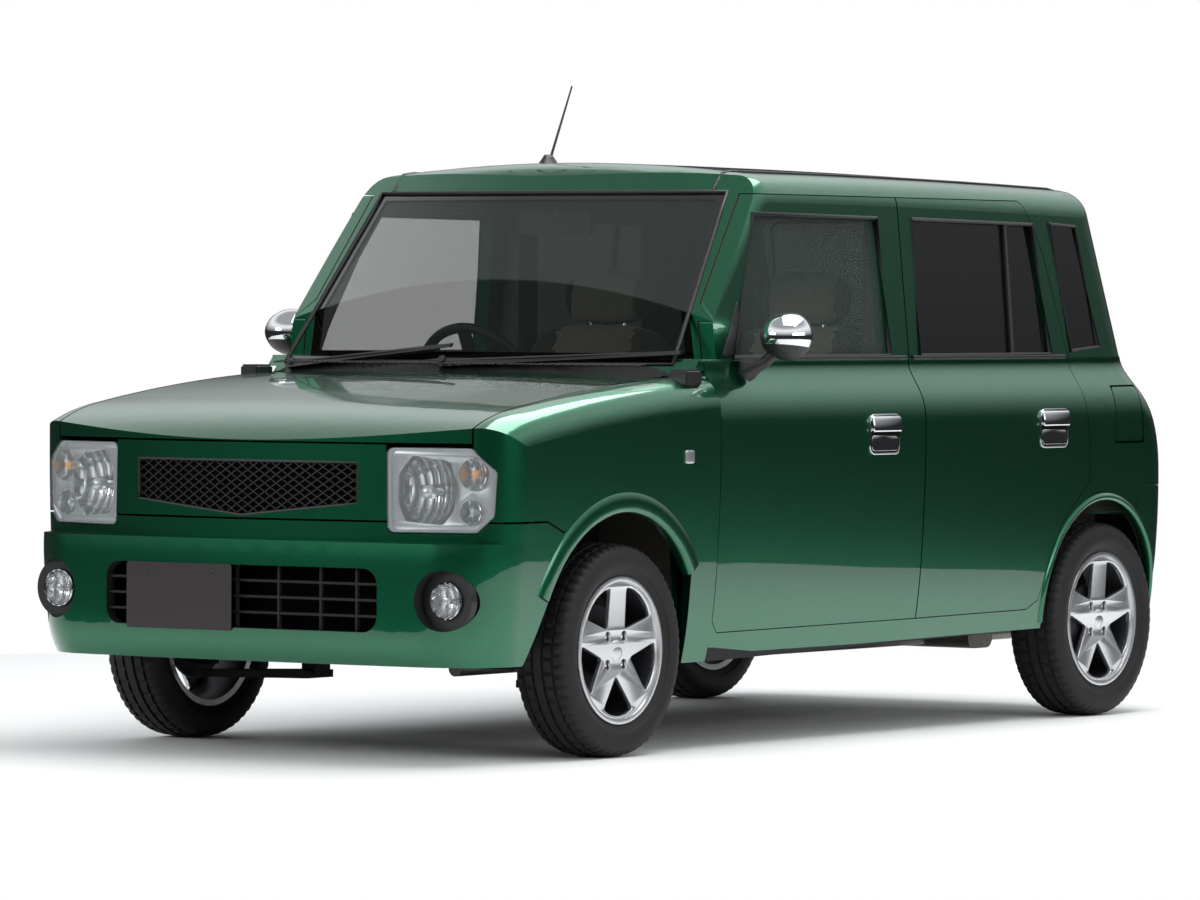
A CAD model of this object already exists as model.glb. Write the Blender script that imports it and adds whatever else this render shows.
"""Kei car: finishes, lamps, trim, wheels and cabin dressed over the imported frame."""

import math

import bmesh
import bpy
from mathutils import Matrix, Vector
from mathutils.bvhtree import BVHTree


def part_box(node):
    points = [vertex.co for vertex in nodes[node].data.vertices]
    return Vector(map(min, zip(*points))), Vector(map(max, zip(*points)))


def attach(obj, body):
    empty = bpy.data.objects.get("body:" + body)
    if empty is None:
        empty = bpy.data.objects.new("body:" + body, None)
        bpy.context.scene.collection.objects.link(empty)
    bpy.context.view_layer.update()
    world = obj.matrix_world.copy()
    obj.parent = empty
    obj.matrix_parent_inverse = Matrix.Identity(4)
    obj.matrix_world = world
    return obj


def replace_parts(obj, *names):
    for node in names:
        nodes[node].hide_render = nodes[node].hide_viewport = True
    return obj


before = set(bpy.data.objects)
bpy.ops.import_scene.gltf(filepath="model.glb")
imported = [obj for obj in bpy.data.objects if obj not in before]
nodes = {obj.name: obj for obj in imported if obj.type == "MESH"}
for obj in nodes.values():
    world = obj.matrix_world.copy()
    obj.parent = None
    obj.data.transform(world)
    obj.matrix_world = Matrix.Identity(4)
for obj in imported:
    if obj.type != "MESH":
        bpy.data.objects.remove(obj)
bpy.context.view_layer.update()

# -------------------- studio
# A plain pale floor under one soft overhead lamp, with soft lamps at the left and in front.
# The camera stands far off at the car's left front with a long lens, a little above the waist line.


def linear(hex_colour):
    """An sRGB hex colour as the linear RGBA that shaders use."""
    channels = [int(hex_colour[i : i + 2], 16) / 255 for i in (1, 3, 5)]
    return [c / 12.92 if c <= 0.04045 else ((c + 0.055) / 1.055) ** 2.4 for c in channels] + [1.0]


def add_node(owner, kind, settings=None, links=None):
    """One shader node with its settings and its incoming links."""
    node = owner.node_tree.nodes.new("ShaderNode" + kind)
    for key, value in (settings or {}).items():
        if isinstance(key, int) or key in node.inputs:
            node.inputs[key].default_value = value
        else:
            setattr(node, key, value)
    for key, source in (links or {}).items():
        owner.node_tree.links.new(source, node.inputs[key])
    return node


def new_material(name):
    """An empty node material, and its object coordinates."""
    material = bpy.data.materials.new(name)
    material.use_nodes = True
    material.node_tree.nodes.clear()
    return material, add_node(material, "TexCoord").outputs["Object"]


def tone_mix(material, low, high, factor):
    """A colour between two tones."""
    mix = add_node(material, "Mix", {"data_type": "RGBA", 6: linear(low), 7: linear(high)}, {0: factor})
    return mix.outputs[2]


def relief_of(material, height, strength, depth):
    """A surface direction from a height."""
    settings = {"Strength": strength, "Distance": depth}
    return add_node(material, "Bump", settings, {"Height": height}).outputs[0]


def surfaced(material, settings, links):
    """Gives a material its surface shader and its output."""
    shader = add_node(material, "BsdfPrincipled", settings, links)
    add_node(material, "OutputMaterial", links={"Surface": shader.outputs[0]})


def finish(name, pattern, shader, tones=None, relief=None, roughness=None, kind="TexNoise"):
    """A material with one texture, which drives what is given: its two tones, its relief as
    strength and depth, and its range of roughness."""
    material, coords = new_material(name)
    texture = add_node(material, kind, pattern, {"Vector": coords}).outputs[0]
    links = {}
    if tones:
        links["Base Color"] = tone_mix(material, *tones, texture)
    if relief:
        links["Normal"] = relief_of(material, texture, *relief)
    if roughness:
        level = add_node(
            material, "MapRange", {"To Min": roughness[0], "To Max": roughness[1]}, {"Value": texture}
        )
        links["Roughness"] = level.outputs[0]
    surfaced(material, shader, links)
    return material


painted_concrete = finish(
    "painted_concrete", {"Scale": 1.4, "Detail": 5.0},
    {"Roughness": 0.55, "Specular IOR Level": 0.2}, ("#f2f2f2", "#f7f7f7"),
)
bm = bmesh.new()
bmesh.ops.create_circle(bm, cap_ends=True, segments=96, radius=4.2)
floor_mesh = bpy.data.meshes.new("floor")
bm.to_mesh(floor_mesh)
bm.free()
floor = bpy.data.objects.new("floor", floor_mesh)
floor_mesh.materials.append(painted_concrete)
bpy.context.scene.collection.objects.link(floor)

world = bpy.data.worlds.new("studio")
bpy.context.scene.world = world
world.use_nodes = True
world.node_tree.nodes.clear()
rays = add_node(world, "LightPath")
direction = add_node(world, "TexCoord")
height = add_node(world, "SeparateXYZ", links={0: direction.outputs["Generated"]}).outputs["Z"]
# The room is dim at eye level and below, pale above it, and dimmer again straight overhead
level = add_node(
    world, "MapRange", {"From Min": 0.06, "From Max": 0.5, "To Min": 0.03, "To Max": 1.25}, {"Value": height}
)
overhead = add_node(
    world, "MapRange", {"From Min": 0.58, "From Max": 0.78, "To Min": 1.0, "To Max": 0.4}, {"Value": height}
)
strength = add_node(world, "Math", {"operation": "MULTIPLY"}, {0: level.outputs[0], 1: overhead.outputs[0]})
surround = add_node(world, "Background", {"Color": linear("#eef1f3")}, {"Strength": strength.outputs[0]})
backdrop = add_node(world, "Background", {"Color": (1, 1, 1, 1), "Strength": 1.0})
mixed = add_node(
    world, "MixShader", links={0: rays.outputs[0], 1: surround.outputs[0], 2: backdrop.outputs[0]}
)
add_node(world, "OutputWorld", links={"Surface": mixed.outputs[0]})

# Lamps: name, place, aim, width, height, power
lamp_table = [
    ("overhead_lamp", (0.9, 0.9, 5.2), (0, 0.3, 0.5), 5.5, 3.2, 300),
    ("left_lamp", (7.5, -1.0, 2.6), (0, 0.2, 0.8), 6.0, 1.6, 110),
    ("front_lamp", (-3.5, -8.0, 3.4), (0, -1.0, 0.8), 4.5, 1.8, 170),
]
for name, place, aim, width, height, power in lamp_table:
    light = bpy.data.lights.new(name, "AREA")
    light.shape = "RECTANGLE"
    light.size = width
    light.size_y = height
    light.energy = power
    lamp = bpy.data.objects.new(name, light)
    lamp.location = place
    lamp.rotation_euler = (Vector(aim) - Vector(place)).to_track_quat("-Z", "Y").to_euler()
    bpy.context.scene.collection.objects.link(lamp)

camera_data = bpy.data.cameras.new("camera")
camera_data.sensor_width = 36
camera_data.lens = 213.3
camera_data.clip_end = 200
camera = bpy.data.objects.new("camera", camera_data)
# Turned left by yaw, tipped down by pitch and leaned by roll
yaw, pitch, roll = (math.radians(angle) for angle in (34.575, 1.206, 0.318))
camera.matrix_world = (
    Matrix.Translation((10.736, -15.688, 1.142)) @ Matrix.Rotation(yaw, 4, "Z")
    @ Matrix.Rotation(math.pi / 2 - pitch, 4, "X") @ Matrix.Rotation(roll, 4, "Z")
)
bpy.context.scene.collection.objects.link(camera)
bpy.context.scene.camera = camera
bpy.context.scene.view_settings.view_transform = "Standard"

# -------------------- body panels
# Pressed steel panels in deep metallic green under clear lacquer. The lacquer gives the sharp gloss
# and its faint orange peel; the flakes below it glitter softly. Inner faces are duller.

metallic_paint, coords = new_material("metallic_paint")
# Flakes are 0.02 mm across in real paint and are drawn 1.2 mm so that they show
flakes = add_node(metallic_paint, "TexVoronoi", {"Scale": 830.0}, {"Vector": coords})
# Orange peel, waves 6 mm apart
peel = add_node(metallic_paint, "TexNoise", {"Scale": 165.0, "Detail": 1.0}, {"Vector": coords})
surfaced(
    metallic_paint,
    {"Metallic": 0.95, "Roughness": 0.3, "Coat Weight": 1.0, "Coat Roughness": 0.02},
    {
        "Base Color": tone_mix(metallic_paint, "#0b5238", "#196e4b", flakes.outputs["Color"]),
        "Coat Normal": relief_of(metallic_paint, peel.outputs[0], 0.004, 0.001),
    },
)
# A thick black textured coat, 3 mm grain
underseal = finish(
    "underseal", {"Scale": 330.0, "Detail": 3.0}, {"Roughness": 0.8}, ("#0b0b0c", "#18181a"), (0.5, 0.0012),
)
# Moulded cabin trim in warm grey, 1.5 mm grain
trim_plastic = finish(
    "grained_polypropylene", {"Scale": 660.0}, {"Roughness": 0.6}, ("#4a443d", "#57514a"),
    (0.25, 0.0006), kind="TexVoronoi",
)


def placed(name, mesh, body, materials):
    """A mesh as a piece that rides on a body."""
    for material in materials:
        mesh.materials.append(material)
    piece = bpy.data.objects.new(name, mesh)
    bpy.context.scene.collection.objects.link(piece)
    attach(piece, body)
    return piece


def dressed_copy(node, body, materials, choose):
    """A merged copy of a CAD panel that stands for it, with a material for each face by its place.
    Each face keeps the panel's own shading directions, so broad faces stay calm beside narrow rounds."""
    source = nodes[node].data
    bm = bmesh.new()
    bm.from_mesh(source)
    kept = bm.loops.layers.float_vector.new("panel_normal")
    for face in bm.faces:
        for loop in face.loops:
            loop[kept] = source.corner_normals[loop.index].vector
    bmesh.ops.remove_doubles(bm, verts=bm.verts, dist=1e-6)
    for face in bm.faces:
        face.material_index = choose(face.calc_center_median(), face.normal)
        face.smooth = True
    mesh = bpy.data.meshes.new(node + "_skin")
    bm.to_mesh(mesh)
    bm.free()
    directions = mesh.attributes["panel_normal"]
    mesh.normals_split_custom_set([tuple(item.vector) for item in directions.data])
    mesh.attributes.remove(mesh.attributes["panel_normal"])
    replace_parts(placed(node + "_skin", mesh, body, materials), node)


# Wheel houses: axle y and z, radius
wheel_houses = ((1.293, 0.309, 0.288), (-1.05, 0.3, 0.36))
# Heights of the sills' lower edge, the cabin floor, the waist and the roof's inner face
sill_z, floor_z, waist_z, lining_z = 0.2495, 0.286, 0.99, 1.462


def side_x(z):
    """Half width of the leaning cabin side at a height above the waist."""
    return 0.681 - (z - 0.993) * 0.1031


def shell_side(place, normal):
    """Paint outside, underseal below and round the wheels, trim inside the cabin."""
    across, y, z = abs(place.x), place.y, place.z
    inside = across < 0.628 and -0.7 < y < 1.6 and z > floor_z
    if z > waist_z:
        screen_y = -0.757 + (z - 0.975) * 0.799
        clear_of_side = across < side_x(z) - 0.03
        inside = clear_of_side and z < lining_z and screen_y + 0.03 < y < 1.53
        near_screen = screen_y - 0.03 < y < screen_y + 0.06
        if near_screen and normal.x * place.x < 0 and across < side_x(z):
            return 1
    faces_forward = normal.y < -0.2 and y < -0.15 and z > 0.9
    faces_back = normal.y > 0.15 and y > 1.3 and z > 0.93
    roof_skin = abs(normal.z) > 0.7 and z > 1.44
    if inside and not (faces_forward or faces_back or roof_skin):
        return 2
    in_wheel_house = any(math.hypot(y - axle_y, z - axle_z) < r for axle_y, axle_z, r in wheel_houses)
    nose = y < -0.7 and across < 0.64
    return 1 if z < sill_z or (in_wheel_house and across < 0.72) or nose else 0


def panel_side(place, normal):
    """Bolt-on panels: paint outside, underseal behind."""
    towards_middle = normal.x * place.x < -0.25 * abs(place.x) and abs(place.x) > 0.4
    backwards = normal.y > 0.6 and place.y < 0 or normal.y < -0.6 and place.y > 1.3
    return 1 if (normal.z < -0.5 and place.z > 0.5) or towards_middle or backwards else 0


def bumper_side(place, normal):
    """The intake with its bars and the fog lamps' recesses are black, the rest as on other panels."""
    across, z = abs(place.x), place.z
    behind_skin = place.y > -1.6895 + across**2 / 15.8
    intake = across < 0.4225 and 0.3245 < z < 0.4825
    recess = math.hypot(across - 0.604, z - 0.407) < 0.0755
    return 1 if behind_skin and (intake or recess) else panel_side(place, normal)


def door_side(place, normal):
    """Doors: paint outside, trim inside."""
    return 1 if normal.x * math.copysign(1, place.x) < -0.35 else 0


def tailgate_side(place, normal):
    """Tailgate: paint outside, trim inside and along its top edge."""
    return 1 if normal.y < -0.3 or normal.z < -0.8 and place.z > 1.2 else 0


shell_finishes = [metallic_paint, underseal, trim_plastic]
dressed_copy("body_shell", "body", shell_finishes, shell_side)
for name, body in (
    ("roof_panel", "body"), ("bonnet", "bonnet"), ("front_wing_left", "body"), ("front_wing_right", "body"),
    ("rear_bumper", "body"), ("grille_panel", "body"), ("fuel_lid", "fuel_lid"),
):
    dressed_copy(name, body, [metallic_paint, underseal], panel_side)
dressed_copy("front_bumper", "body", [metallic_paint, underseal], bumper_side)
for name in ("door_front_left", "door_front_right", "door_rear_left", "door_rear_right"):
    dressed_copy(name, name, [metallic_paint, trim_plastic], door_side)
dressed_copy("tailgate", "tailgate", [metallic_paint, trim_plastic], tailgate_side)

# -------------------- glass
# Laminated windscreen and toughened door glass with a faint green tint, and dark privacy glass behind
# the front doors. The windscreen has a black fired-on border that hides its glue.


def dress(material, *names):
    """CAD nodes that are shown as they are, in one material."""
    for name in names:
        nodes[name].data.materials.clear()
        nodes[name].data.materials.append(material)


def math_node(material, operation, first, second):
    """One arithmetic node; the second term is a socket or a number."""
    if isinstance(second, float):
        return add_node(material, "Math", {"operation": operation, 1: second}, {0: first}).outputs[0]
    return add_node(material, "Math", {"operation": operation}, {0: first, 1: second}).outputs[0]


clear_glass, coords = new_material("tinted_laminated_glass")
place = add_node(clear_glass, "SeparateXYZ", links={0: coords})
width = add_node(clear_glass, "Math", {"operation": "ABSOLUTE"}, {0: place.outputs["X"]})
# Side edge of the screen at this height, less a border of 26 mm
edge = add_node(
    clear_glass, "MapRange",
    {"From Min": 0.975, "From Max": 1.424, "To Min": 0.59, "To Max": 0.527, "clamp": False},
    {"Value": place.outputs["Z"]},
)
past_side = math_node(clear_glass, "GREATER_THAN", width.outputs[0], edge.outputs[0])
past_top = math_node(clear_glass, "GREATER_THAN", place.outputs["Z"], 1.405)
past_foot = math_node(clear_glass, "LESS_THAN", place.outputs["Z"], 1.006)
border = math_node(clear_glass, "MAXIMUM", past_side, past_top)
border = math_node(clear_glass, "MAXIMUM", border, past_foot)
cover = add_node(clear_glass, "MapRange", {"To Min": 0.34, "To Max": 1.0}, {"Value": border})
surfaced(
    clear_glass, {"Roughness": 0.02, "IOR": 1.52, "Coat Weight": 1.0, "Coat Roughness": 0.01},
    {"Base Color": tone_mix(clear_glass, "#333c39", "#050505", border), "Alpha": cover.outputs[0]},
)
door_glass = finish(
    "tinted_toughened_glass", {"Scale": 3.0},
    {"Base Color": linear("#46524e"), "Roughness": 0.02, "IOR": 1.52, "Alpha": 0.3, "Coat Weight": 1.0},
    relief=(0.02, 0.002),
)
privacy_glass = finish(
    "privacy_glass", {"Scale": 3.0},
    {"Base Color": linear("#0d0d0f"), "Roughness": 0.03, "IOR": 1.52, "Alpha": 0.86, "Coat Weight": 1.0},
    relief=(0.02, 0.002),
)
dress(clear_glass, "windscreen")
dress(door_glass, "door_glass_front_left", "door_glass_front_right")
dress(privacy_glass, "door_glass_rear_left", "door_glass_rear_right", "quarter_glasses", "tailgate_glass")

# -------------------- rubber seals
# Extruded rubber beads round every window, round the windscreen and along the rear doors' glass
# dividers. EPDM rubber is matt black with a faint sheen.

seal_rubber = finish(
    "epdm_rubber", {"Scale": 500.0, "Detail": 2.0}, {"Roughness": 0.45}, ("#0a0a0b", "#151516"),
    (0.15, 0.0005),
)
sides = (("left", 1), ("right", -1))


def as_piece(bm, name, body, materials, sharp_angle=35):
    """The bmesh as a finished piece that rides on a body."""
    for face in bm.faces:
        face.smooth = True
    mesh = bpy.data.meshes.new(name)
    bm.to_mesh(mesh)
    bm.free()
    mesh.set_sharp_from_angle(angle=math.radians(sharp_angle))
    return placed(name, mesh, body, materials)


def from_curve(curve, outlines, closed):
    """The mesh of a bevelled curve through outlines, as a bmesh."""
    for outline in outlines:
        spline = curve.splines.new("POLY")
        spline.points.add(len(outline) - 1)
        for point, place in zip(spline.points, outline):
            point.co = (*Vector(place).to_3d(), 1.0)
        spline.use_cyclic_u = closed
    holder = bpy.data.objects.new(curve.name, curve)
    bpy.context.scene.collection.objects.link(holder)
    bpy.context.view_layer.update()
    mesh = bpy.data.meshes.new_from_object(holder)
    bm = bmesh.new()
    bm.from_mesh(mesh)
    bpy.data.objects.remove(holder)
    bpy.data.meshes.remove(mesh)
    return bm


def bead(name, body, material, points, radius, closed=True):
    """A round strip of trim along points."""
    curve = bpy.data.curves.new(name + "_line", "CURVE")
    curve.dimensions = "3D"
    curve.twist_mode = "Z_UP"
    curve.bevel_depth = radius
    curve.bevel_resolution = 2
    curve.use_fill_caps = True
    as_piece(from_curve(curve, [points], closed), name, body, [material], 50)


def ring_points(corners, step_counts):
    """Points round a closed outline, with each edge cut into its number of steps."""
    points = []
    for index, steps in enumerate(step_counts):
        start = Vector(corners[index])
        end = Vector(corners[(index + 1) % len(corners)])
        points += [start.lerp(end, step / steps) for step in range(steps)]
    return points


def line_points(start, end, steps):
    """Evenly spaced points from start to end."""
    return [Vector(start).lerp(Vector(end), step / steps) for step in range(steps + 1)]


window_outlines = {
    "front": [(-0.499, 1.0), (0.258, 1.0), (0.24, 1.364), (-0.35, 1.368)],
    "rear": [(0.403, 1.0), (1.082, 1.002), (1.032, 1.356), (0.414, 1.364)],
}
quarter_outline = [(1.189, 1.01), (1.338, 1.022), (1.262, 1.353), (1.122, 1.36)]
divider_line = [(0.898, 1.358), (0.884, 1.003)]
for row, outline in window_outlines.items():
    for side, sign in sides:
        ring = [(sign * (side_x(z) - 0.002), y, z) for y, z in outline]
        bead(f"window_seal_{row}_{side}", f"door_{row}_{side}", seal_rubber, ring, 0.007)
for side, sign in sides:
    ring = [(sign * (side_x(z) - 0.001), y, z) for y, z in quarter_outline]
    bead(f"quarter_seal_{side}", "body", seal_rubber, ring, 0.006)
    bar = [(sign * (side_x(z) - 0.006), y, z) for y, z in divider_line]
    bead(f"window_divider_{side}", f"door_rear_{side}", seal_rubber, bar, 0.009, closed=False)


def screen_at(x, z, lift=0.0):
    """A point on the windscreen: across, at a height and off its face."""
    lean = math.atan2(358, 448)
    sag = x * x / (2 * 3.3) - lift
    rise = (z - 0.993 + sag * math.sin(lean)) / math.cos(lean)
    y = -0.743 + rise * math.sin(lean) + sag * math.cos(lean)
    return (x, y, 0.993 + rise * math.cos(lean) - sag * math.sin(lean))


screen_corners = [(-0.616, 0.979), (0.616, 0.979), (0.553, 1.424), (-0.553, 1.424)]
gasket = [screen_at(x, z) for x, z in ring_points(screen_corners, (12, 8, 12, 8))]
bead("windscreen_gasket", "body", seal_rubber, gasket, 0.006)

# -------------------- grille mesh
# A black ABS moulding behind the painted surround: a lattice of thin crossed bars that leaves diamond
# openings, with a thin frame round its edge. It follows the slight bow of the car's face.

black_abs = finish(
    "black_abs", {"Scale": 420.0, "Detail": 2.0}, {"Roughness": 0.42}, ("#101011", "#1b1b1d"),
    (0.2, 0.0004),
)
deep_black = finish(
    "unlit_black_paint", {"Scale": 60.0}, {"Roughness": 0.9, "Specular IOR Level": 0.1},
    ("#030303", "#070707"),
)
dress(deep_black, "grille_mesh")


def face_front(x):
    """Depth of the upper face's surface at a place across the car."""
    radius = 2.478
    return -1.6795 + radius - math.sqrt(radius**2 - x * x)


def block(bm, size, centre, turn=None):
    """A box in bm, turned about its own centre if asked."""
    verts = bmesh.ops.create_cube(bm, size=1.0)["verts"]
    bmesh.ops.scale(bm, vec=size, verts=verts)
    if turn:
        bmesh.ops.rotate(bm, cent=(0, 0, 0), matrix=turn, verts=verts)
    bmesh.ops.translate(bm, vec=centre, verts=verts)


def cut(bm, point, normal, clear=False):
    """Cuts bm at a plane, and clears what lies beyond it if asked."""
    geom = bm.verts[:] + bm.edges[:] + bm.faces[:]
    bmesh.ops.bisect_plane(bm, geom=geom, plane_co=point, plane_no=normal, clear_outer=clear)


grille_edge = [(-0.341, 0.64), (0.0, 0.605), (0.341, 0.64), (0.341, 0.741), (-0.341, 0.741)]
bm = bmesh.new()
for way in (-1, 1):
    for index in range(-34, 35):
        # Bars 34.5 mm apart along the grille, rising 0.62 for each length they run
        low = Vector((index * 0.0345, 0, 0.6))
        run = Vector((0.15 / (0.62 * way), 0, 0.15))
        turn = Matrix.Rotation(-math.atan2(run.z, run.x), 3, "Y")
        block(bm, (run.length, 0.006, 0.0026), low + run / 2, turn)
for (x, z), (next_x, next_z) in zip(grille_edge, grille_edge[1:] + grille_edge[:1]):
    cut(bm, (x, 0, z), (next_z - z, 0, x - next_x), clear=True)
for index in range(-6, 7):
    cut(bm, (index * 0.05, 0, 0), (1, 0, 0))
for vert in bm.verts:
    vert.co.y += face_front(vert.co.x) + 0.0085
as_piece(bm, "grille_lattice", "body", [black_abs])
frame_line = [(x, face_front(x) + 0.004, z) for x, z in ring_points(grille_edge, (6,) * 5)]
bead("grille_frame", "body", black_abs, frame_line, 0.0045)

# -------------------- wheel arch flares
# The pressed sheet is turned out into a soft raised band round each wheel opening, and is painted
# with its panel. The front band is broad, the rear one a narrow lip.


def body_side(y, z):
    """Half width of the body below the waist, with its rounded rear corners."""
    table = [
        (0.193, 0.685), (0.243, 0.696), (0.293, 0.704), (0.343, 0.711), (0.393, 0.717), (0.443, 0.7216),
        (0.493, 0.725), (0.543, 0.728), (0.643, 0.7322), (0.743, 0.7352), (0.843, 0.735),
    ]
    half = table[-1][1]
    for (low_z, low_w), (high_z, high_w) in zip(table, table[1:]):
        if z <= high_z:
            half = low_w + (high_w - low_w) * (z - low_z) / (high_z - low_z)
            break
    if y > 1.54:
        half -= 0.15 - math.sqrt(max(0.15**2 - (y - 1.54) ** 2, 0))
    return half


def spun(bm, points, centre, axis, steps, angle=2 * math.pi):
    """Spins a line of points about an axis, added to bm."""
    line = [bm.verts.new(point) for point in points]
    edges = [bm.edges.new(pair) for pair in zip(line, line[1:])]
    bmesh.ops.spin(
        bm, geom=line + edges, cent=centre, axis=axis, angle=angle, steps=steps,
        use_merge=angle == 2 * math.pi,
    )


# Flares: name, centre y and z, radius of the opening, first and last angle, width
flare_table = [
    ("front", -1.0537, 0.269, 0.3453, 31.5, 158.0, 0.052), ("rear", 1.293, 0.309, 0.29, -8.0, 188.0, 0.019),
]
for row, centre_y, centre_z, radius, first, last, width in flare_table:
    # How far out from the opening, and how proud of the panel
    section = [
        (-0.002, -0.022), (-0.002, 0.0), (0.002, 0.005), (0.008, 0.0065),
        (width * 0.6, 0.005), (width * 0.9, 0.002), (width, -0.002),
    ]
    start = math.radians(first)
    for side, sign in sides:
        bm = bmesh.new()
        points = []
        for out, proud in section:
            reach = radius + out
            points.append((proud, centre_y + reach * math.cos(start), centre_z + reach * math.sin(start)))
        spun(bm, points, (0, centre_y, centre_z), (1, 0, 0), 48, math.radians(last - first))
        for vert in bm.verts:
            vert.co.x = sign * (vert.co.x + body_side(vert.co.y, vert.co.z))
        bmesh.ops.recalc_face_normals(bm, faces=bm.faces)
        outward = sum(face.normal.x * face.calc_area() for face in bm.faces)
        if outward * sign < 0:
            bmesh.ops.reverse_faces(bm, faces=bm.faces)
        as_piece(bm, f"arch_flare_{row}_{side}", "body", [metallic_paint], 80)

# -------------------- headlamps
# Vacuum-metallised reflectors and bezels behind a clear polycarbonate cover: a large bowl with a bulb
# shield, a round turn lamp with an amber bulb at the upper corner and a round side lamp below it.

clear_cover = finish(
    "clear_polycarbonate", {"Scale": 9.0},
    {"Base Color": linear("#dfe6e6"), "Roughness": 0.02, "IOR": 1.58, "Alpha": 0.12, "Coat Weight": 1.0},
    relief=(0.03, 0.001),
)
# Reflector flutes 9 mm apart
metallised = finish(
    "metallised_reflector", {"bands_direction": "X", "Scale": 17.0, "Distortion": 0.6},
    {"Metallic": 1.0, "Roughness": 0.1}, ("#6d7074", "#e6e8ea"), (0.5, 0.003), kind="TexWave",
)
satin_silver = finish(
    "satin_silver_bezel", {"Scale": 700.0}, {"Metallic": 0.85, "Roughness": 0.28},
    ("#bfc3c6", "#d2d5d8"), (0.08, 0.0003),
)
amber_glass = finish(
    "amber_bulb_glass", {"Scale": 80.0}, {"Roughness": 0.08, "Coat Weight": 1.0}, ("#e08a1e", "#f0a840"),
)
dress(clear_cover, "headlamp_covers")
dress(satin_silver, "headlamp_housings")


def mm(pairs):
    """Pairs drawn in millimetres, as metres."""
    return [(first / 1000, second / 1000) for first, second in pairs]


def rounded(corners, radius, steps=4):
    """The corners of a closed outline, each rounded off."""
    points = []
    for index, corner in enumerate(corners):
        here = Vector(corner)
        before = (Vector(corners[index - 1]) - here).normalized() * radius
        after = (Vector(corners[(index + 1) % len(corners)]) - here).normalized() * radius
        for step in range(steps + 1):
            share = step / steps
            points.append(here + before * (1 - share) ** 2 + after * share**2)
    return points


def rounded_box(left, low, right, high, radius):
    """A box outline with rounded corners."""
    return rounded([(left, low), (right, low), (right, high), (left, high)], radius)


def circle_points(centre_x, centre_y, radius, count=32):
    """A circle outline."""
    turns = [2 * math.pi * index / count for index in range(count)]
    return [(centre_x + radius * math.cos(t), centre_y + radius * math.sin(t)) for t in turns]


def plate(outlines, thickness, edge_round):
    """A flat plate in XY, as a bmesh: the first outline is its edge, the rest are holes."""
    curve = bpy.data.curves.new("plate_outline", "CURVE")
    curve.dimensions = "2D"
    curve.fill_mode = "BOTH"
    curve.extrude = thickness / 2 - edge_round
    curve.bevel_depth = edge_round
    curve.bevel_resolution = 1
    curve.offset = -edge_round
    bm = from_curve(curve, outlines, True)
    bmesh.ops.remove_doubles(bm, verts=bm.verts, dist=1e-6)
    bmesh.ops.recalc_face_normals(bm, faces=bm.faces)
    return bm


def moulded(name, body, material, bm, place, sharp_angle=40):
    """A plate laid onto the car: place gives where a point across, along and off the plate goes."""
    for vert in bm.verts:
        vert.co = place(*vert.co)
    bmesh.ops.recalc_face_normals(bm, faces=bm.faces)
    return as_piece(bm, name, body, [material], sharp_angle)


def turned(bm, profile, foot, axis, steps=32):
    """Spins a profile of (radius, along) pairs about an axis through a point, added to bm."""
    axis = Vector(axis).normalized()
    radial = axis.orthogonal().normalized()
    before = set(bm.verts)
    points = [Vector(foot) + radial * radius + axis * along for radius, along in profile]
    spun(bm, points, foot, axis, steps)
    made = [vert for vert in bm.verts if vert not in before]
    bmesh.ops.remove_doubles(bm, verts=made, dist=1e-6)
    made = [vert for vert in bm.verts if vert not in before]
    bmesh.ops.recalc_face_normals(bm, faces=list({face for vert in made for face in vert.link_faces}))
    return made


def turned_piece(name, body, slot, material, sharp_angle, *forms):
    """A piece of turned forms, each with its profile, foot, axis and steps."""
    bm = bmesh.new()
    for form in forms:
        turned(bm, *form)
    return as_piece(bm, name, body, [material], sharp_angle)


def lamp_depth(x):
    """Depth of the swept-back headlamps at a place across the car."""
    return -1.628 + 0.2615 * (x - 0.43)


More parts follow.
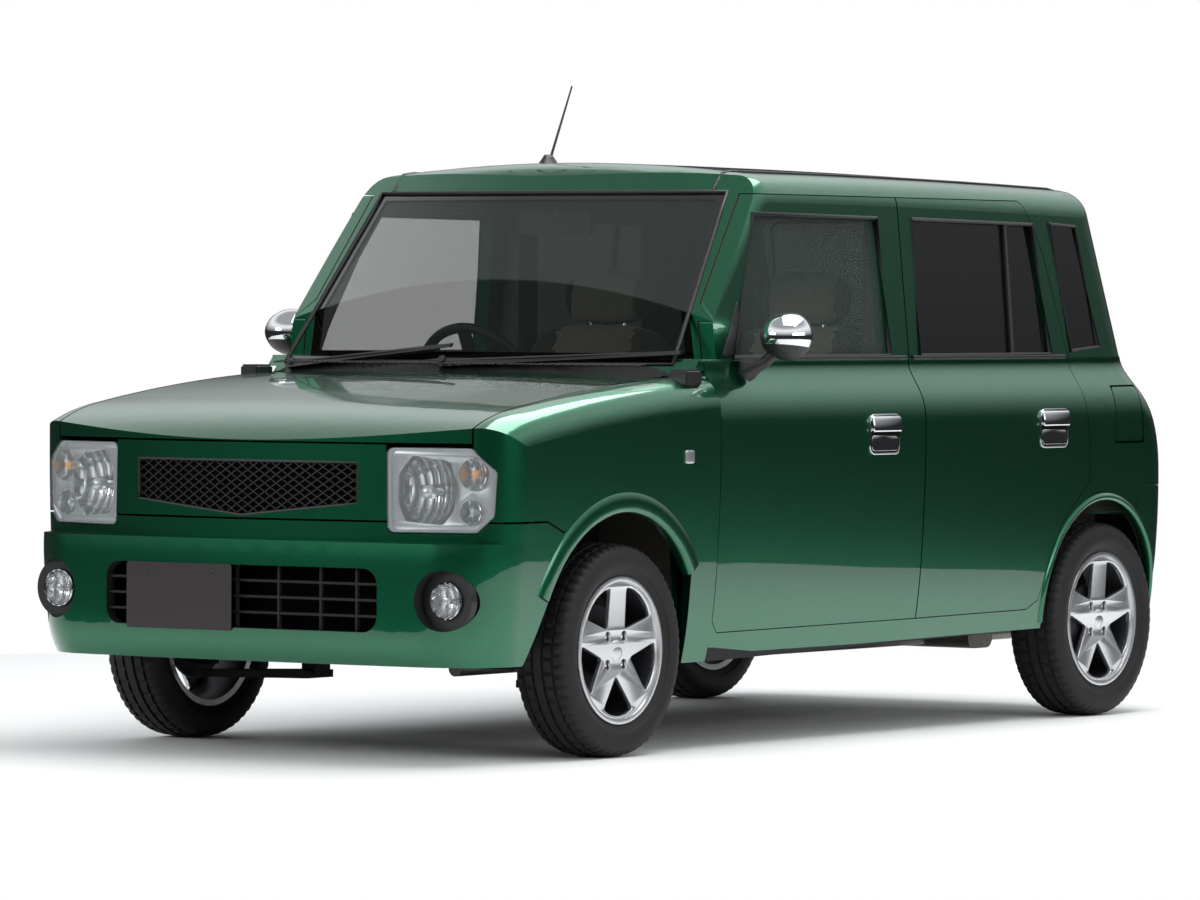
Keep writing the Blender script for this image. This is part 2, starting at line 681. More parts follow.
ALONG_CAR = (0, 1, 0)
bezel_edge = rounded(mm([(430, 577), (653, 578), (686, 615), (692, 720), (637, 773), (427, 773)]), 0.016)
main_hole = rounded(
    mm([(443, 645), (462, 598), (560, 590), (588, 630), (593, 690), (578, 745), (480, 760), (446, 715)]),
    0.008,
)
for side, sign in sides:
    turn_lamp = (sign * 0.636, lamp_depth(0.636), 0.715)
    side_lamp = (sign * 0.63, lamp_depth(0.63), 0.622)
    holes = [main_hole, circle_points(0.636, 0.715, 0.0385), circle_points(0.63, 0.622, 0.03)]
    moulded(
        f"headlamp_bezel_{side}", "body", satin_silver,
        plate([bezel_edge, *holes], 0.004, 0.001), lambda x, z, lift: (sign * x, lamp_depth(x) - lift, z),
        35,
    )

    bm = bmesh.new()
    profile = mm([(84, 0), (78, 18), (62, 40), (40, 54), (18, 60), (0, 61)])
    main_bowl = turned(bm, profile, (sign * 0.518, lamp_depth(0.518) + 0.004, 0.675), ALONG_CAR, 40)
    about_bowl = Matrix.Translation((-sign * 0.518, 0, -0.675))
    bmesh.ops.scale(bm, vec=(0.93, 1, 1.03), space=about_bowl, verts=main_bowl)
    profile = mm([(40.5, -4), (38.5, -6), (37, 0), (30, 20), (14, 34), (0, 36)])
    turned(bm, profile, turn_lamp, ALONG_CAR)
    profile = mm([(32, -4), (30, -6), (28.5, 0), (22, 16), (10, 26), (0, 28)])
    turned(bm, profile, side_lamp, ALONG_CAR)
    bmesh.ops.reverse_faces(bm, faces=[face for face in bm.faces if face.normal.y > 0.3])
    as_piece(bm, f"headlamp_reflectors_{side}", "body", [metallised], 60)

    # Bulb shield on its stalk, and the side lamp's bulb
    shield = mm([(0, -20), (12, -18), (17, -10), (17, 12), (9, 16), (9, 50)])
    bulb = mm([(0, -2), (6, 1), (8, 8), (6, 18), (6, 27)])
    turned_piece(
        f"headlamp_shield_{side}", "body", "silver_lining", satin_silver, 50,
        (shield, (sign * 0.515, lamp_depth(0.515) + 0.012, 0.67), ALONG_CAR, 24),
        (bulb, side_lamp, ALONG_CAR, 16),
    )
    bulb = mm([(0, -4), (8, -1), (12, 6), (10, 16), (7, 24), (7, 34)])
    turned_piece(f"turn_bulb_{side}", "body", "lamp_glass", amber_glass, 60, (bulb, turn_lamp, ALONG_CAR, 20))

# -------------------- fog lamps, splash panels, plates
# Round fog lamps with a metallised bowl behind a clear glass, in black recesses. Black mouldings close
# the front arches, the cowl's ends and the intake. The plates are blank dark acrylic on two screws.

fog_bowl = mm([(46.5, -4), (44, -5.5), (43, 0), (36, 18), (20, 29), (0, 32)])
fog_shield = mm([(0, -6), (8, -4), (10, 4), (6, 8), (6, 31)])
fog_front = mm([(0, -7.5), (20, -6.5), (36, -4), (45.5, 1), (45.5, 3), (0, -3.5)])
for side, sign in sides:
    fog_lamp = (sign * 0.604, -1.644, 0.407)
    bm = bmesh.new()
    turned(bm, fog_bowl, fog_lamp, ALONG_CAR, 36)
    bmesh.ops.reverse_faces(bm, faces=[face for face in bm.faces if face.normal.y > 0.3])
    as_piece(bm, f"fog_reflector_{side}", "body", [metallised], 60)
    turned_piece(
        f"fog_bulb_shield_{side}", "body", "silver_lining", satin_silver, 50,
        (fog_shield, fog_lamp, ALONG_CAR, 20),
    )
    glass = turned_piece(
        f"fog_glass_{side}", "body", "lamp_glass", clear_cover, 60,
        (fog_front, (sign * 0.604, -1.6445, 0.407), ALONG_CAR, 36),
    )
    if side == "left":
        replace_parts(glass, "fog_lamps")
for name, size, centre, edge, steps in (
    ("arch_splash_panel", (0.285, 0.0025, 0.5), (0.5425, -1.406, 0.51), 0.0008, 1),
    ("cowl_end", (0.06, 0.07, 0.044), (0.683, -0.722, 0.946), 0.006, 3),
):
    for side, sign in sides:
        bm = bmesh.new()
        block(bm, size, (sign * centre[0], *centre[1:]))
        bmesh.ops.bevel(bm, geom=bm.edges[:], offset=edge, segments=steps, affect="EDGES")
        as_piece(bm, f"{name}_{side}", "body", [black_abs])
bm = bmesh.new()
bmesh.ops.create_grid(bm, x_segments=24, y_segments=2, size=1.0)
for vert in bm.verts:
    x = vert.co.x * 0.445
    vert.co = (x, -1.628 + x**2 / 15.8, 0.4035 + vert.co.y * 0.096)
bmesh.ops.solidify(bm, geom=bm.faces[:], thickness=0.002)
bmesh.ops.recalc_face_normals(bm, faces=bm.faces)
as_piece(bm, "intake_screen", "body", [deep_black])
dress(black_abs, "fog_bezels")

dark_acrylic = finish(
    "dark_acrylic_sheet", {"Scale": 240.0, "Detail": 3.0}, {"Roughness": 0.35},
    ("#2c2728", "#342f30"), (0.05, 0.0003),
)
dress(dark_acrylic, "front_plate", "rear_plate")
screw_head = [(0.0, 0.0022), (0.003, 0.0022), (0.005, 0.0012), (0.0055, 0.0)]
for name, body, x, y, z, way in (
    ("front_plate_screws", "body", -0.18, -1.6975, 0.463, -1),
    ("rear_plate_screws", "tailgate", 0.0, 1.6975, 0.833, 1),
):
    screws = [(screw_head, (x + offset, y, z), (0, way, 0), 16) for offset in (-0.105, 0.105)]
    turned_piece(name, body, "dark_plate", black_abs, 40, *screws)

# -------------------- wheels
# Radial tyres: ribbed tread between four grooves, sipes across the shoulder blocks and a smooth rounded
# sidewall with a rim ridge. Five-spoke alloy rims with lug nuts in wells, over discs and drums.

tyre_rubber = finish(
    "tyre_rubber", {"Scale": 9.0, "Detail": 3.0},
    {"Roughness": 0.62, "Specular IOR Level": 0.35}, ("#0e0e0f", "#1a1a1b"),
)
# The rubber's grain is finer than its dust
tyre_coords = add_node(tyre_rubber, "TexCoord").outputs["Object"]
grain = add_node(tyre_rubber, "TexNoise", {"Scale": 260.0, "Detail": 4.0}, {"Vector": tyre_coords})
tyre_rubber.node_tree.links.new(
    relief_of(tyre_rubber, grain.outputs[0], 0.25, 0.0006),
    tyre_rubber.node_tree.nodes["Principled BSDF"].inputs["Normal"],
)
# Lathe marks 0.8 mm apart under a clear lacquer
machined_alloy = finish(
    "machined_alloy", {"Scale": 900.0, "Detail": 1.0},
    {"Metallic": 0.9, "Roughness": 0.27, "Coat Weight": 0.5, "Coat Roughness": 0.08},
    ("#c9cacd", "#dcdde0"), (0.06, 0.0003),
)
chrome = finish(
    "chrome_plate", {"Scale": 40.0, "Detail": 2.0},
    {"Base Color": linear("#dfe1e4"), "Metallic": 1.0}, roughness=(0.03, 0.08),
)
brake_iron = finish(
    "cast_iron", {"Scale": 320.0, "Detail": 3.0}, {"Metallic": 0.8, "Roughness": 0.5},
    ("#2a2b2d", "#46474a"), (0.3, 0.0005),
)

# Place along the axle and radius, from the middle of the tread to the bead
half_tread = mm([
    (0, 267.8), (10.5, 267.8), (11.2, 261.2), (18.8, 261.2), (19.5, 267.6), (40, 266.8), (40.7, 260.5),
    (48.3, 260.5), (49, 266), (60, 264), (69, 260), (74, 254.5), (77.5, 247), (80.5, 238), (82, 229),
    (81.5, 220), (79.5, 211), (77.5, 206.5), (76.5, 205), (74.5, 204), (70, 196), (66, 188.5),
    (64.5, 186.3), (60, 174),
])
tread_profile = [(-x, radius) for x, radius in reversed(half_tread[1:])] + half_tread
tread_columns = 180
barrel_profile = mm([
    (173, 69), (180, 70), (184.5, 69.5), (185.8, 67), (185, 64), (176, 60), (172, 48), (171.5, -45),
    (176, -60), (185.5, -65), (185.5, -69.5), (170, -68), (164, -48), (164, 42), (170, 56), (173, 69),
])
disc_profile = mm([
    (30, 24), (60, 24), (64, -10), (112, -10), (114, -12), (114, -20), (112, -22), (30, -22), (30, 24),
])
drum_profile = mm([(26, 30), (85, 28), (97, 20), (100, -20), (96, -24), (26, -24), (26, 30)])
cap_profile = mm([(0, 60.5), (12, 60.2), (22, 58.5), (26.2, 56), (27, 50)])
nut_profile = mm([(0, 49), (4, 48.2), (7.8, 45.5), (8.4, 44), (9, 34)])
well_profile = [(0.0128, 0.045), (0.0124, 0.036), (0.0, 0.0355)]


def polar(radius, degrees):
    """A point at a radius and a turn, in its plane."""
    return (radius * math.cos(math.radians(degrees)), radius * math.sin(math.radians(degrees)))


# Openings between the spokes: turn from their middle and radius at each corner
window_corners = ((0.0, 0.064), (23.6, 0.1605), (12.0, 0.164), (0.0, 0.165), (-12.0, 0.164), (-23.6, 0.1605))
lug_places = [polar(0.05, turn) for turn in (45, 135, 225, 315)]
rim_outlines = [circle_points(0, 0, 0.172, count=80)]
for middle in (54, 126, 198, 270, 342):
    rim_outlines.append(rounded([polar(r, middle + turn) for turn, r in window_corners], 0.01, 3))
rim_outlines += [circle_points(*lug, 0.012, count=20) for lug in lug_places]

# Wheels: place, side, axle y, brake
wheel_table = [
    ("front_left", 1, -1.05, disc_profile), ("front_right", -1, -1.05, disc_profile),
    ("rear_left", 1, 1.31, drum_profile), ("rear_right", -1, 1.31, drum_profile),
]
for corner, sign, axle_y, brake_profile in wheel_table:
    hub = Vector((sign * 0.645, axle_y, 0.268))
    outward = (sign, 0, 0)
    wheel = "wheel_" + corner
    bm = bmesh.new()
    points = [hub + Vector((along, 0, radius)) for along, radius in tread_profile]
    spun(bm, points, hub, (1, 0, 0), tread_columns)
    bmesh.ops.remove_doubles(bm, verts=bm.verts, dist=1e-6)
    for vert in bm.verts:
        rel = vert.co - hub
        radius = math.hypot(rel.y, rel.z)
        column = round(math.atan2(rel.z, rel.y) / (2 * math.pi) * tread_columns)
        outer_rib = 0.0485 < abs(rel.x) < 0.075
        middle_rib = 0.019 < abs(rel.x) < 0.0405 and radius > 0.265
        # Sipes across the ribs: every third column of the shoulders, every fourth of the middle ribs
        sunk = outer_rib and column % 3 == 0 or middle_rib and (column + 1) % 4 == 0
        if sunk and radius > 0.2535:
            sink = (radius - 0.005) / radius
            vert.co = hub + Vector((rel.x, rel.y * sink, rel.z * sink))
    bmesh.ops.recalc_face_normals(bm, faces=bm.faces)
    tread = as_piece(bm, "tread_" + corner, wheel, [tyre_rubber], 28)
    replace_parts(tread, "tyre_" + corner)

    def on_rim(y, z, lift):
        """The rim's face is dished towards its hub."""
        dish = 0.047 + 0.01 * (math.hypot(y, z) / 0.17) ** 2
        return hub + Vector((sign * (dish + lift), y, z))

    face = plate(rim_outlines, 0.014, 0.003)
    spokes = moulded("spokes_" + corner, wheel, machined_alloy, face, on_rim)
    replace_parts(spokes, "rim_" + corner)
    bm = bmesh.new()
    turned(bm, barrel_profile, hub, outward, 96)
    for face in bm.faces:
        rel = face.calc_center_median() - hub
        face.material_index = 1 if math.hypot(rel.y, rel.z) < 0.1735 and sign * rel.x < 0.058 else 0
    as_piece(bm, "barrel_" + corner, wheel, [machined_alloy, brake_iron], 35)
    turned_piece("hub_cap_" + corner, wheel, "alloy", machined_alloy, 40, (cap_profile, hub, outward, 40))
    lugs = [hub + Vector((0, *lug)) for lug in lug_places]
    nuts = [(nut_profile, lug, outward, 6) for lug in lugs]
    turned_piece("lug_nuts_" + corner, wheel, "bright_chrome", chrome, 25, *nuts)
    wells = [(well_profile, lug, outward, 20) for lug in lugs]
    turned_piece("lug_wells_" + corner, wheel, "black_trim", black_abs, 40, *wells)
    turned_piece("brake_" + corner, wheel, "chassis_steel", brake_iron, 35, (brake_profile, hub, outward, 64))

# -------------------- door handles and mirrors
# Handles: a chrome flap over a bright cup. Mirrors: a chrome bowl over a black base on a black arm.
# A black corner piece fills the window behind the arm, and a black strip runs along each waist.

# Parts of a handle: name, material, outlines, thickness, edge round
handle_parts = [
    ("flap", chrome, [rounded_box(-0.07, -0.018, 0.07, 0.024, 0.01)], 0.012, 0.004),
    (
        "rim", chrome,
        [rounded_box(-0.074, -0.078, 0.074, 0.03, 0.024), rounded_box(-0.069, -0.073, 0.069, 0.025, 0.02)],
        0.006, 0.0018,
    ),
    ("well", deep_black, [rounded_box(-0.07, -0.074, 0.07, 0.026, 0.02)], 0.003, 0.0005),
    (
        "scoop", chrome,
        [rounded([(-0.064, -0.068), (0.064, -0.068), (0.064, -0.03), (-0.064, -0.026)], 0.012)], 0.003,
        0.001,
    ),
]


def handle_depth(part, y, z):
    """Half width of the car at a handle's parts: the flap is bowed and the scoop slopes in."""
    if part == "flap":
        return 0.7425 + 0.004 * (1 - (y / 0.07) ** 2) - 0.2 * max(0.0, z)
    return {"rim": 0.736, "well": 0.7352, "scoop": 0.7376 - 0.05 * (z + 0.068)}[part]


for row, centre_y, centre_z in (("front", 0.142, 0.818), ("rear", 1.008, 0.824)):
    for side, sign in sides:
        door = f"door_{row}_{side}"
        for part, material, outlines, thickness, edge_round in handle_parts:
            bm = plate(outlines, thickness, edge_round)
            if part == "scoop":
                bmesh.ops.subdivide_edges(bm, edges=bm.edges, cuts=1)
            piece = moulded(
                f"handle_{part}_{door}", door, material, bm,
                lambda y, z, lift: (sign * (handle_depth(part, y, z) + lift), centre_y + y, centre_z + z),
            )
            if part == "flap":
                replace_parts(piece, f"door_handle_{row}_{side}")

mirror_glass = finish(
    "silvered_glass", {"Scale": 30.0}, {"Base Color": linear("#cdd3d6"), "Metallic": 1.0},
    roughness=(0.01, 0.03),
)
bowl_profile = mm([
    (0, -66), (18, -64), (36, -56), (52, -42), (64, -24), (71, -4), (73, 10), (72.5, 18), (70, 21),
    (67, 19), (66, 12), (0, 12),
])
corner_outline = [(-0.548, 1.002), (-0.47, 1.002), (-0.446, 1.062), (-0.462, 1.142)]
for side, sign in sides:
    door = "door_front_" + side
    head = Vector((sign * 0.795, -0.43, 1.052))
    bm = bmesh.new()
    turned(bm, bowl_profile, head, ALONG_CAR, 64)
    for vert in bm.verts:
        rel = vert.co - head
        rel.z *= 0.86
        # The lower outer corner is drawn in, so that the bowl is a rounded pear
        if rel.z < 0:
            rel.x *= 1 - 0.9 * abs(rel.z)
        vert.co = head + rel
    # Below a seam that slopes a little the bowl is black, and so is the rim round its glass
    seam_z, seam_slope = -0.026, 0.12
    cut(bm, head + Vector((0, 0, seam_z)), (0, seam_slope, 1))
    bmesh.ops.recalc_face_normals(bm, faces=bm.faces)
    for face in bm.faces:
        rel = face.calc_center_median() - head
        if rel.y > 0.0115 and abs(face.normal.y) > 0.9 and math.hypot(rel.x, rel.z) < 0.066:
            face.material_index = 2
        elif rel.z < seam_z - seam_slope * rel.y or rel.y > 0.01:
            face.material_index = 1
    finishes = [chrome, black_abs, mirror_glass]
    bowl = as_piece(bm, "mirror_bowl_" + side, door, finishes, 40)
    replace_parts(bowl, "door_mirror_" + side)
    foot = Vector((sign * 0.7, -0.47, 0.962))
    elbow = Vector((sign * 0.752, -0.462, 0.985))
    neck = Vector((sign * 0.772, -0.44, 1.012))
    low, high = (elbow - foot).length, (neck - elbow).length
    lower_arm = [(0.0, 0.0), (0.028, 0.0), (0.027, 0.012), (0.019, 0.03), (0.015, low), (0.0, low + 0.01)]
    upper_arm = [
        (0.0, -0.012), (0.012, -0.008), (0.015, 0.0), (0.0135, high), (0.018, high + 0.01),
        (0.0, high + 0.02),
    ]
    turned_piece(
        "mirror_arm_" + side, door, "black_trim", black_abs, 40,
        (lower_arm, foot, elbow - foot, 28), (upper_arm, elbow, neck - elbow, 28),
    )
    moulded(
        "window_corner_" + side, door, black_abs,
        plate([rounded(corner_outline, 0.008)], 0.006, 0.002),
        lambda y, z, lift: (sign * (side_x(z) + lift - 0.001), y, z),
    )
    strip_z = 0.9945
    strip_x = sign * (side_x(strip_z) + 0.0005)
    for row, first, last in (("front", -0.5, 0.33), ("rear", 0.362, 1.15)):
        strip = line_points((strip_x, first, strip_z), (strip_x, last, strip_z), 12)
        bead(f"waist_strip_{row}_{side}", f"door_{row}_{side}", black_abs, strip, 0.0062, closed=False)

# -------------------- small lamps, cowl, wipers, roof strips
# Side turn lenses on the wings, the slotted black cowl, wiper arms with their blades, and the
# narrow black strips that close the roof's welded joints.

for side, sign in sides:
    moulded(
        "side_lens_" + side, "body", satin_silver,
        plate([rounded_box(-0.02, -0.017, 0.02, 0.017, 0.009)], 0.006, 0.002),
        lambda y, z, lift: (sign * (0.7365 + lift), -0.78 + y, 0.748 + z),
    )
dress(black_abs, "cowl_panel", "wipers")
for tag, start, end in (
    ("driver", (-0.6, 0.972), (-0.08, 1.02)), ("passenger", (-0.02, 0.985), (0.56, 1.008)),
):
    line = line_points(start, end, 14)
    bow = [0.0125 + 0.004 * math.sin(math.pi * step / 14) for step in range(15)]
    spine = [screen_at(x, z, lift) for (x, z), lift in zip(line, bow)]
    bead("wiper_spine_" + tag, "body", black_abs, spine, 0.0035, closed=False)
    edge = [screen_at(x, z - 0.006, 0.0055) for x, z in line]
    bead("wiper_edge_" + tag, "body", seal_rubber, edge, 0.0042, closed=False)

bm = bmesh.new()
for row in range(3):
    for index in range(-19, 20):
        centre = (index * 0.03, -0.782 + row * 0.016, 0.9765 + row * 0.0012)
        block(bm, (0.02, 0.006, 0.004), centre)
bmesh.ops.bevel(bm, geom=bm.edges[:], offset=0.0012, segments=1, affect="EDGES")
as_piece(bm, "cowl_ribs", "body", [seal_rubber], 40)


def surface_of(*names):
    """The joined surface of CAD nodes, to lay pieces onto."""
    bm = bmesh.new()
    for name in names:
        bm.from_mesh(nodes[name].data)
    surface = BVHTree.FromBMesh(bm)
    bm.free()
    return surface


roof = surface_of("roof_panel", "body_shell")
for side, sign in sides:
    line = []
    for step in range(41):
        x, y = sign * 0.512, -0.345 + step * 1.72 / 40
        point = roof.ray_cast(Vector((x, y, 1.8)), Vector((0, 0, -1)))[0]
        if point:
            line.append((x, y, point.z + 0.0005))
    bead("roof_strip_" + side, "body", seal_rubber, line, 0.0042, closed=False)

# -------------------- tail lamps and tailgate
# Red moulded lenses with round lamps behind them, each in a bright ring. The tailgate has a chrome
# pull over the plate, a rear wiper, and a high stop lamp at the top of its glass.

# Pips of the lens's inner face, 3 mm apart
red_lens = finish(
    "red_acrylic_lens", {"Scale": 330.0},
    {"Roughness": 0.12, "Coat Weight": 1.0, "Coat Roughness": 0.02}, ("#7a0509", "#a90d12"),
    (0.35, 0.0008), kind="TexVoronoi",
)
dress(red_lens, "tail_lamps")
tail = surface_of("tail_lamps")
for side, sign in sides:
    for tag, z, r, lens in (("stop", 0.79, 0.04, red_lens), ("turn", 0.706, 0.036, amber_glass)):
        point, way = tail.ray_cast(Vector((sign * 0.632, 2.2, z)), Vector((0, -1, 0)))[:2]
        centre = point - way * 0.0035
        ring = [(r + 0.004, 0.0), (r + 0.003, 0.004), (r, 0.0045), (r - 0.002, 0.001)]
        crown = [(0.0, 0.0042), (r * 0.5, 0.0038), (r * 0.85, 0.0024), (r - 0.001, 0.0)]
        turned_piece(f"tail_ring_{tag}_{side}", "body", "bright_chrome", chrome, 40, (ring, centre, way, 40))
        turned_piece(f"tail_lens_{tag}_{side}", "body", "red_lens", lens, 60, (crown, centre, way, 40))

gate_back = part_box("tailgate")[1].y
moulded(
    "tailgate_pull", "tailgate", chrome,
    plate([rounded_box(-0.11, -0.014, 0.11, 0.014, 0.01)], 0.016, 0.005),
    lambda x, z, lift: (x, gate_back - 0.004 + lift, 0.906 + z),
)
gate = surface_of("tailgate", "tailgate_glass")


def on_gate(x, z, lift=0.0):
    """A point on the back of the tailgate or its glass."""
    point, way = gate.ray_cast(Vector((x, 2.2, z)), Vector((0, -1, 0)))[:2]
    return point + way * lift


glass_low, glass_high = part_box("tailgate_glass")
widen = (glass_high.x - 0.001) / 0.505
raise_by = (glass_high.z - glass_low.z - 0.004) / 0.37
seal_line = []
for x, z in rounded([(-0.505, 1.003), (0.505, 1.003), (0.47, 1.373), (-0.47, 1.373)], 0.04, 6):
    seal_line.append(on_gate(x * widen, glass_low.z + 0.002 + (z - 1.003) * raise_by))
bead("tailgate_glass_seal", "tailgate", seal_rubber, seal_line, 0.0065)
hub_profile = [(0.0, 0.014), (0.014, 0.013), (0.02, 0.008), (0.022, -0.014)]
turned_piece(
    "rear_wiper_hub", "tailgate", "black_trim", black_abs, 40,
    (hub_profile, on_gate(0.0, 1.022, 0.02), ALONG_CAR, 28),
)
arm = [on_gate(x, z, 0.02) for x, z in line_points((-0.02, 1.024), (-0.32, 1.076), 8)]
bead("rear_wiper_arm", "tailgate", black_abs, arm, 0.006, closed=False)
blade = [on_gate(x, z, 0.009) for x, z in line_points((-0.1, 1.04), (-0.4, 1.092), 8)]
bead("rear_wiper_blade", "tailgate", seal_rubber, blade, 0.0055, closed=False)
top_point = on_gate(0.0, glass_high.z - 0.022, 0.005)
moulded(
    "high_stop_lamp", "tailgate", red_lens,
    plate([rounded_box(-0.085, -0.01, 0.085, 0.01, 0.006)], 0.01, 0.003),
    lambda x, z, lift: (x, top_point.y + lift, top_point.z + z),
)

# -------------------- aerial
# A stubby steel mast in a black plastic sleeve with a raised helix, which leans back from a moulded
# black foot on the roof's front edge.

foot = Vector((-0.1, -0.215, 1.4985))
bm = bmesh.new()
base_profile = mm([(0, 30), (9, 29), (13, 22), (22, 6), (27, 0), (27, -4)])
for vert in turned(bm, base_profile, foot, (0, 0, 1), 32):
    vert.co.y = foot.y + (vert.co.y - foot.y) * 1.5
mast = []
for step in range(120):
    share = step / 119
    winding = 0.0007 if step % 3 == 0 else 0.0
    mast.append((0.0036 - 0.0016 * share + winding, 0.02 + 0.22 * share))
turned(bm, [*mast, (0.0, 0.2415)], foot, (0, 0.45, 0.89), 12)
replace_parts(as_piece(bm, "aerial_mast", "body", [black_abs], 60), "aerial")

# -------------------- dashboard and steering wheel
# Grained polypropylene mouldings: a dark top pad with round vents, a pale lower half, a hooded dial
# cluster, a centre panel with blanks, and a leather-grained wheel with a plain centre pad.

dark_trim = finish(
    "dark_grained_polypropylene", {"Scale": 700.0}, {"Roughness": 0.55},
    ("#1d1b19", "#282522"), (0.3, 0.0005), kind="TexVoronoi",
)


def dashboard_side(place, normal):
    """Dark top pad and centre, pale lower half."""
    return 0 if place.z > 0.845 or abs(place.x) < 0.125 else 1


dressed_copy("dashboard", "body", [dark_trim, trim_plastic], dashboard_side)
vent_profile = mm([(38, 6), (36, 10), (31, 8), (30, -4), (0, -4)])
bm = bmesh.new()
for x, z in ((-0.5, 0.87), (-0.085, 0.868), (0.085, 0.868), (0.5, 0.87)):
    turned(bm, vent_profile, (x, -0.333, z), ALONG_CAR, 28)
    for index in range(-2, 3):
        block(bm, (0.052 - 0.006 * abs(index), 0.01, 0.0016), (x, -0.334, z + index * 0.01))
as_piece(bm, "dash_vents", "body", [satin_silver], 40)
panel_outline = [(-0.095, -0.13), (0.095, -0.13), (0.105, 0.06), (-0.105, 0.06)]
moulded(
    "centre_panel", "body", satin_silver,
    plate([rounded(panel_outline, 0.012)], 0.01, 0.003), lambda x, z, lift: (x, -0.276 + lift, 0.69 + z),
)
knob_profile = [(0.0, 0.018), (0.016, 0.017), (0.019, 0.01), (0.021, 0.0)]
knobs = [(knob_profile, (x, -0.27, 0.615), ALONG_CAR, 28) for x in (-0.06, 0.0, 0.06)]
turned_piece("heater_knobs", "body", "dash_plastic", dark_trim, 40, *knobs)
moulded(
    "radio_blank", "body", black_abs,
    plate([rounded_box(-0.088, -0.024, 0.088, 0.024, 0.004)], 0.006, 0.001),
    lambda x, z, lift: (x, -0.27 + lift, 0.712 + z),
)

# Dial print: forty ticks round the middle of the cluster
dial_place = Vector((-0.33, -0.348, 0.905))
dial_face, coords = new_material("dial_print")
centred = add_node(dial_face, "Mapping", {"Location": (0.33, 0.0, -0.905)}, {"Vector": coords})
parts = add_node(dial_face, "SeparateXYZ", links={0: centred.outputs[0]})
angle = math_node(dial_face, "ARCTAN2", parts.outputs["X"], parts.outputs["Z"])
tick_wave = add_node(
    dial_face, "Math", {"operation": "COSINE"}, {0: math_node(dial_face, "MULTIPLY", angle, 40.0)}
)
tick = math_node(dial_face, "GREATER_THAN", tick_wave.outputs[0], 0.8)
surfaced(dial_face, {"Roughness": 0.4}, {"Base Color": tone_mix(dial_face, "#0b0b0c", "#e8e4da", tick)})
for name, material, profile in (
    ("dial_centre", black_abs, [(0.0, 0.001), (0.026, 0.001), (0.027, 0.0015)]),
    ("dial_ring", dial_face, [(0.026, 0.0005), (0.052, 0.0005)]),
    ("dial_bezel", satin_silver, [(0.052, 0.0), (0.053, 0.006), (0.057, 0.006), (0.058, 0.0)]),
):
    form = (profile, dial_place, ALONG_CAR, 48)
    turned_piece(name, "body", "dash_plastic", material, 40, form)

grained_leather = finish(
    "grained_leather", {"Scale": 520.0}, {"Roughness": 0.5}, ("#1a1815", "#2a2622"),
    (0.35, 0.0005), kind="TexVoronoi",
)
dress(grained_leather, "steering_wheel")
pad_profile = mm([(0, 30), (40, 28), (58, 20), (64, 8), (62, -10)])
column_way = (0, *polar(1.0, 25))
turned_piece(
    "wheel_pad", "steering_wheel", "dash_plastic", dark_trim, 50,
    (pad_profile, (-0.33, -0.2, 0.905), column_way, 40),
)
dress(dark_trim, "room_mirror")
moulded(
    "room_mirror_glass", "body", mirror_glass,
    plate([rounded_box(-0.105, -0.024, 0.105, 0.024, 0.016)], 0.003, 0.0008),
    lambda x, z, lift: (x, -0.305 + lift, 1.345 + z),
)

# -------------------- seats
# Foam cushions covered in woven cloth: a pale quilted centre panel between darker bolsters, with a
# loose headrest on two chrome rods. The backs' rear faces are dark cloth. Belts hang at the pillars.

cloths = []
for name, low, high in (
    ("pale_woven_cloth", "#8f8571", "#a89e89"), ("dark_woven_cloth", "#3a322b", "#4a4139"),
):
    cloth, coords = new_material(name)
    # Warp and weft threads 1.6 mm apart, drawn as two crossed waves
    threads = {"Scale": 100.0, "Distortion": 0.4}
    warp = add_node(cloth, "TexWave", {"bands_direction": "X", **threads}, {"Vector": coords}).outputs[1]
    weft = add_node(cloth, "TexWave", {"bands_direction": "Z", **threads}, {"Vector": coords}).outputs[1]
    slub = add_node(cloth, "TexNoise", {"Scale": 60.0, "Detail": 4.0}, {"Vector": coords}).outputs[0]
    weave = math_node(cloth, "ADD", math_node(cloth, "MULTIPLY", warp, weft), slub)
    surfaced(
        cloth, {"Roughness": 0.9, "Sheen Weight": 0.4, "Sheen Roughness": 0.5, "Specular IOR Level": 0.15},
        {"Base Color": tone_mix(cloth, low, high, slub), "Normal": relief_of(cloth, weave, 0.35, 0.0006)},
    )
    cloths.append(cloth)


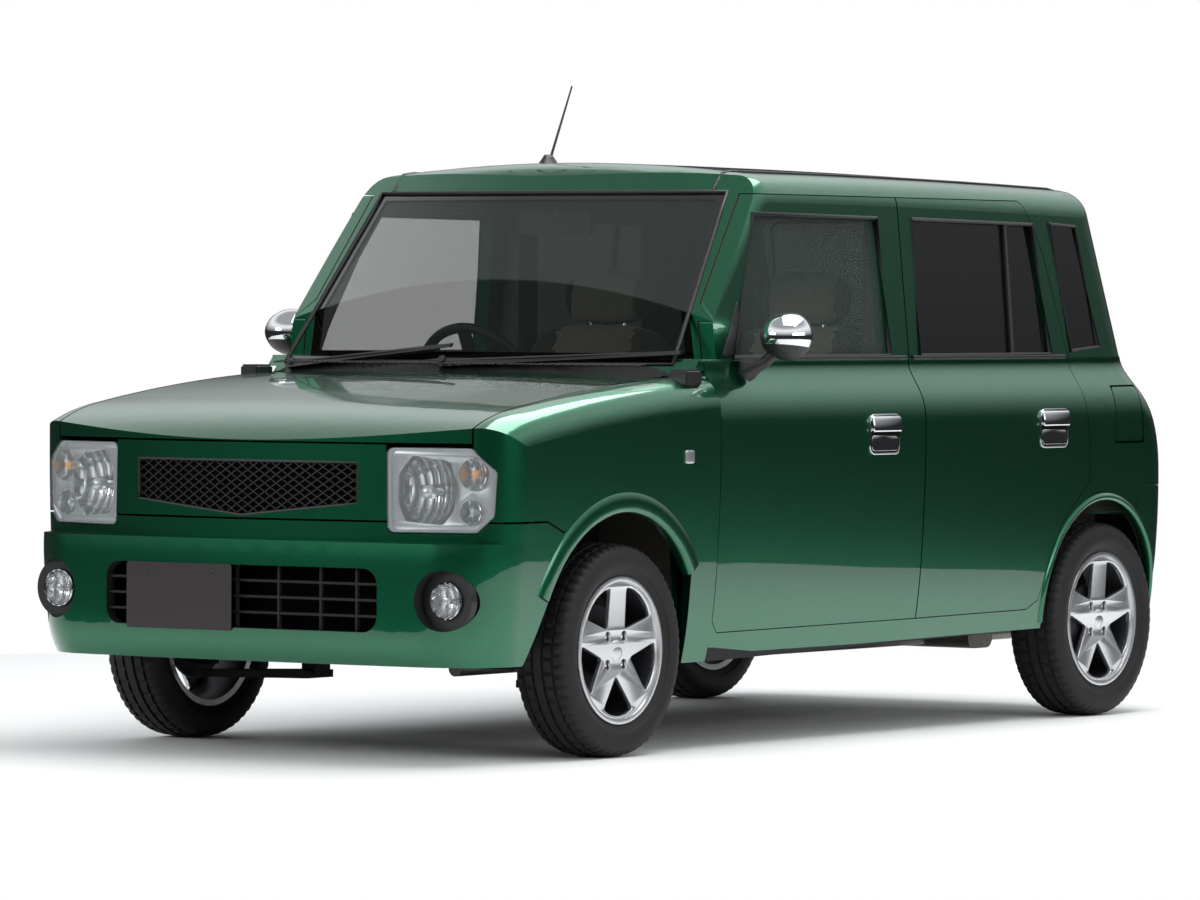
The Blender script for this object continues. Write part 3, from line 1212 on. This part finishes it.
def cushion(name, centre, size, lean, square=4.5, bolster=0.56, channels=0, upright=False):
    """A crowned foam cushion: size is across, deep and high; lean tips its top backwards in degrees.
    Its face is its top, or its front if upright. Channels are sewn grooves across the pale centre
    panel, and the bolsters outside it are dark."""
    bm = bmesh.new()
    bmesh.ops.create_cube(bm, size=2.0)
    bmesh.ops.subdivide_edges(bm, edges=bm.edges[:], cuts=27, use_grid_fill=True)
    turn = Matrix.Rotation(math.radians(-lean), 3, "X")
    for vert in bm.verts:
        u, v, w = vert.co
        blend = (abs(u) ** square + abs(v) ** square + abs(w) ** square) ** (1 / square)
        top = max(abs(u), abs(v), abs(w))
        u, v, w = (c * top / blend for c in (u, v, w))
        off, run = (-v, w) if upright else (w, v)
        seam = math.exp(-(((abs(u) - bolster) / 0.035) ** 2))
        groove = 0.0
        if channels and abs(u) < bolster and off > 0.5:
            groove = 0.5 * (1 + math.cos((run * 0.5 + 0.5) * channels * 2 * math.pi)) ** 3 / 8
        crown = 1 + 0.05 * (1 - u * u) * (1 - run * run)
        dip = 0.01 * seam + 0.009 * groove
        raised = 0.014 * max(0.0, min(1.0, (abs(u) - bolster) * 5))
        lift = (raised - dip) * max(0.0, off)
        local = Vector((u * size[0] / 2, v * size[1] / 2, w * size[2] / 2))
        if upright:
            local.y = local.y * crown - lift
        else:
            local.z = local.z * crown + lift
        vert.co = Vector(centre) + turn @ local
    for face in bm.faces:
        middle = turn.inverted() @ (face.calc_center_median() - Vector(centre))
        fronts = middle.y < -size[1] * 0.1 if upright else middle.z > size[2] * 0.1
        face.material_index = 0 if abs(middle.x) / (size[0] / 2) < bolster and fronts else 1
    bmesh.ops.recalc_face_normals(bm, faces=bm.faces)
    piece = as_piece(bm, name, "body", cloths, 60)
    return piece


rod_profile = [(0.0055, 0.0), (0.0055, 0.1), (0.0, 0.1)]
headrest = {"square": 3.2, "bolster": 0.8, "upright": True}
for side, sign in sides:
    x = sign * 0.325
    base = cushion(f"front_cushion_{side}", (x, 0.03, 0.49), (0.47, 0.46, 0.15), -5, channels=4)
    if side == "left":
        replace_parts(base, "front_seats")
    back_size = (0.45, 0.13, 0.56)
    cushion(f"front_back_{side}", (x, 0.335, 0.795), back_size, 10, channels=5, upright=True)
    cushion(f"front_headrest_{side}", (x, 0.402, 1.15), (0.262, 0.092, 0.142), 8, **headrest)
    rods = [(rod_profile, (x + offset, 0.388, 1.03), (0, 0.15, 1), 12) for offset in (-0.055, 0.055)]
    turned_piece(f"headrest_rods_{side}", "body", "bright_chrome", chrome, 40, *rods)
    bm = bmesh.new()
    for offset in (-0.19, 0.19):
        block(bm, (0.04, 0.46, 0.034), (x + offset, 0.04, 0.312))
        block(bm, (0.03, 0.38, 0.11), (x + offset * 0.95, 0.04, 0.378))
    bmesh.ops.bevel(bm, geom=bm.edges[:], offset=0.006, segments=2, affect="EDGES")
    as_piece(bm, f"seat_rails_{side}", "body", [brake_iron], 40)

bench_size = (0.985, 0.43, 0.14)
bench = cushion("rear_cushion", (0, 0.985, 0.56), bench_size, -4, bolster=0.93, channels=4)
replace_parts(bench, "rear_seat")
rear_back = {"bolster": 0.86, "channels": 5, "upright": True}
for side, sign in sides:
    cushion(f"rear_back_{side}", (sign * 0.2475, 1.236, 0.805), (0.488, 0.12, 0.52), 12, **rear_back)
    cushion(f"rear_headrest_{side}", (sign * 0.27, 1.275, 1.118), (0.232, 0.074, 0.128), 8, **headrest)

# Belts: woven webbing 46 mm wide from the pillar loop down to its reel
belt_spine = [(0.586, 0.385, 1.18), (0.596, 0.388, 0.9), (0.602, 0.39, 0.56)]
for side, sign in sides:
    bm = bmesh.new()
    rows = []
    for x, y, z in belt_spine:
        rows.append([bm.verts.new((sign * x, y + edge, z)) for edge in (-0.023, 0.023)])
    for (a, b), (c, d) in zip(rows, rows[1:]):
        bm.faces.new((a, b, d, c))
    bmesh.ops.solidify(bm, geom=bm.faces[:], thickness=0.0015)
    as_piece(bm, f"belt_webbing_{side}", "body", [cloths[1]], 40)

# -------------------- underside and engine bay
# Oiled steel for the subframe, the rear axle and the knuckles, cast aluminium for the engine block and
# aluminised steel for the exhaust. The tank and the radiator's shroud are black plastic.

for name, low, high, roughness, scale, metal_nodes in (
    (
        "oiled_steel", "#1a1a1b", "#2b2b2c", 0.55, 140.0,
        ("front_subframe", "rear_axle", "knuckle_left", "knuckle_right"),
    ),
    ("cast_aluminium", "#6f7173", "#8e9092", 0.5, 420.0, ("engine_block",)),
    ("aluminised_steel", "#55524d", "#7d7a74", 0.4, 60.0, ("exhaust",)),
):
    metal = finish(
        name, {"Scale": scale, "Detail": 5.0}, {"Metallic": 0.8, "Roughness": roughness},
        (low, high), (0.25, 0.0008),
    )
    dress(metal, *metal_nodes)
dress(black_abs, "fuel_tank", "radiator")
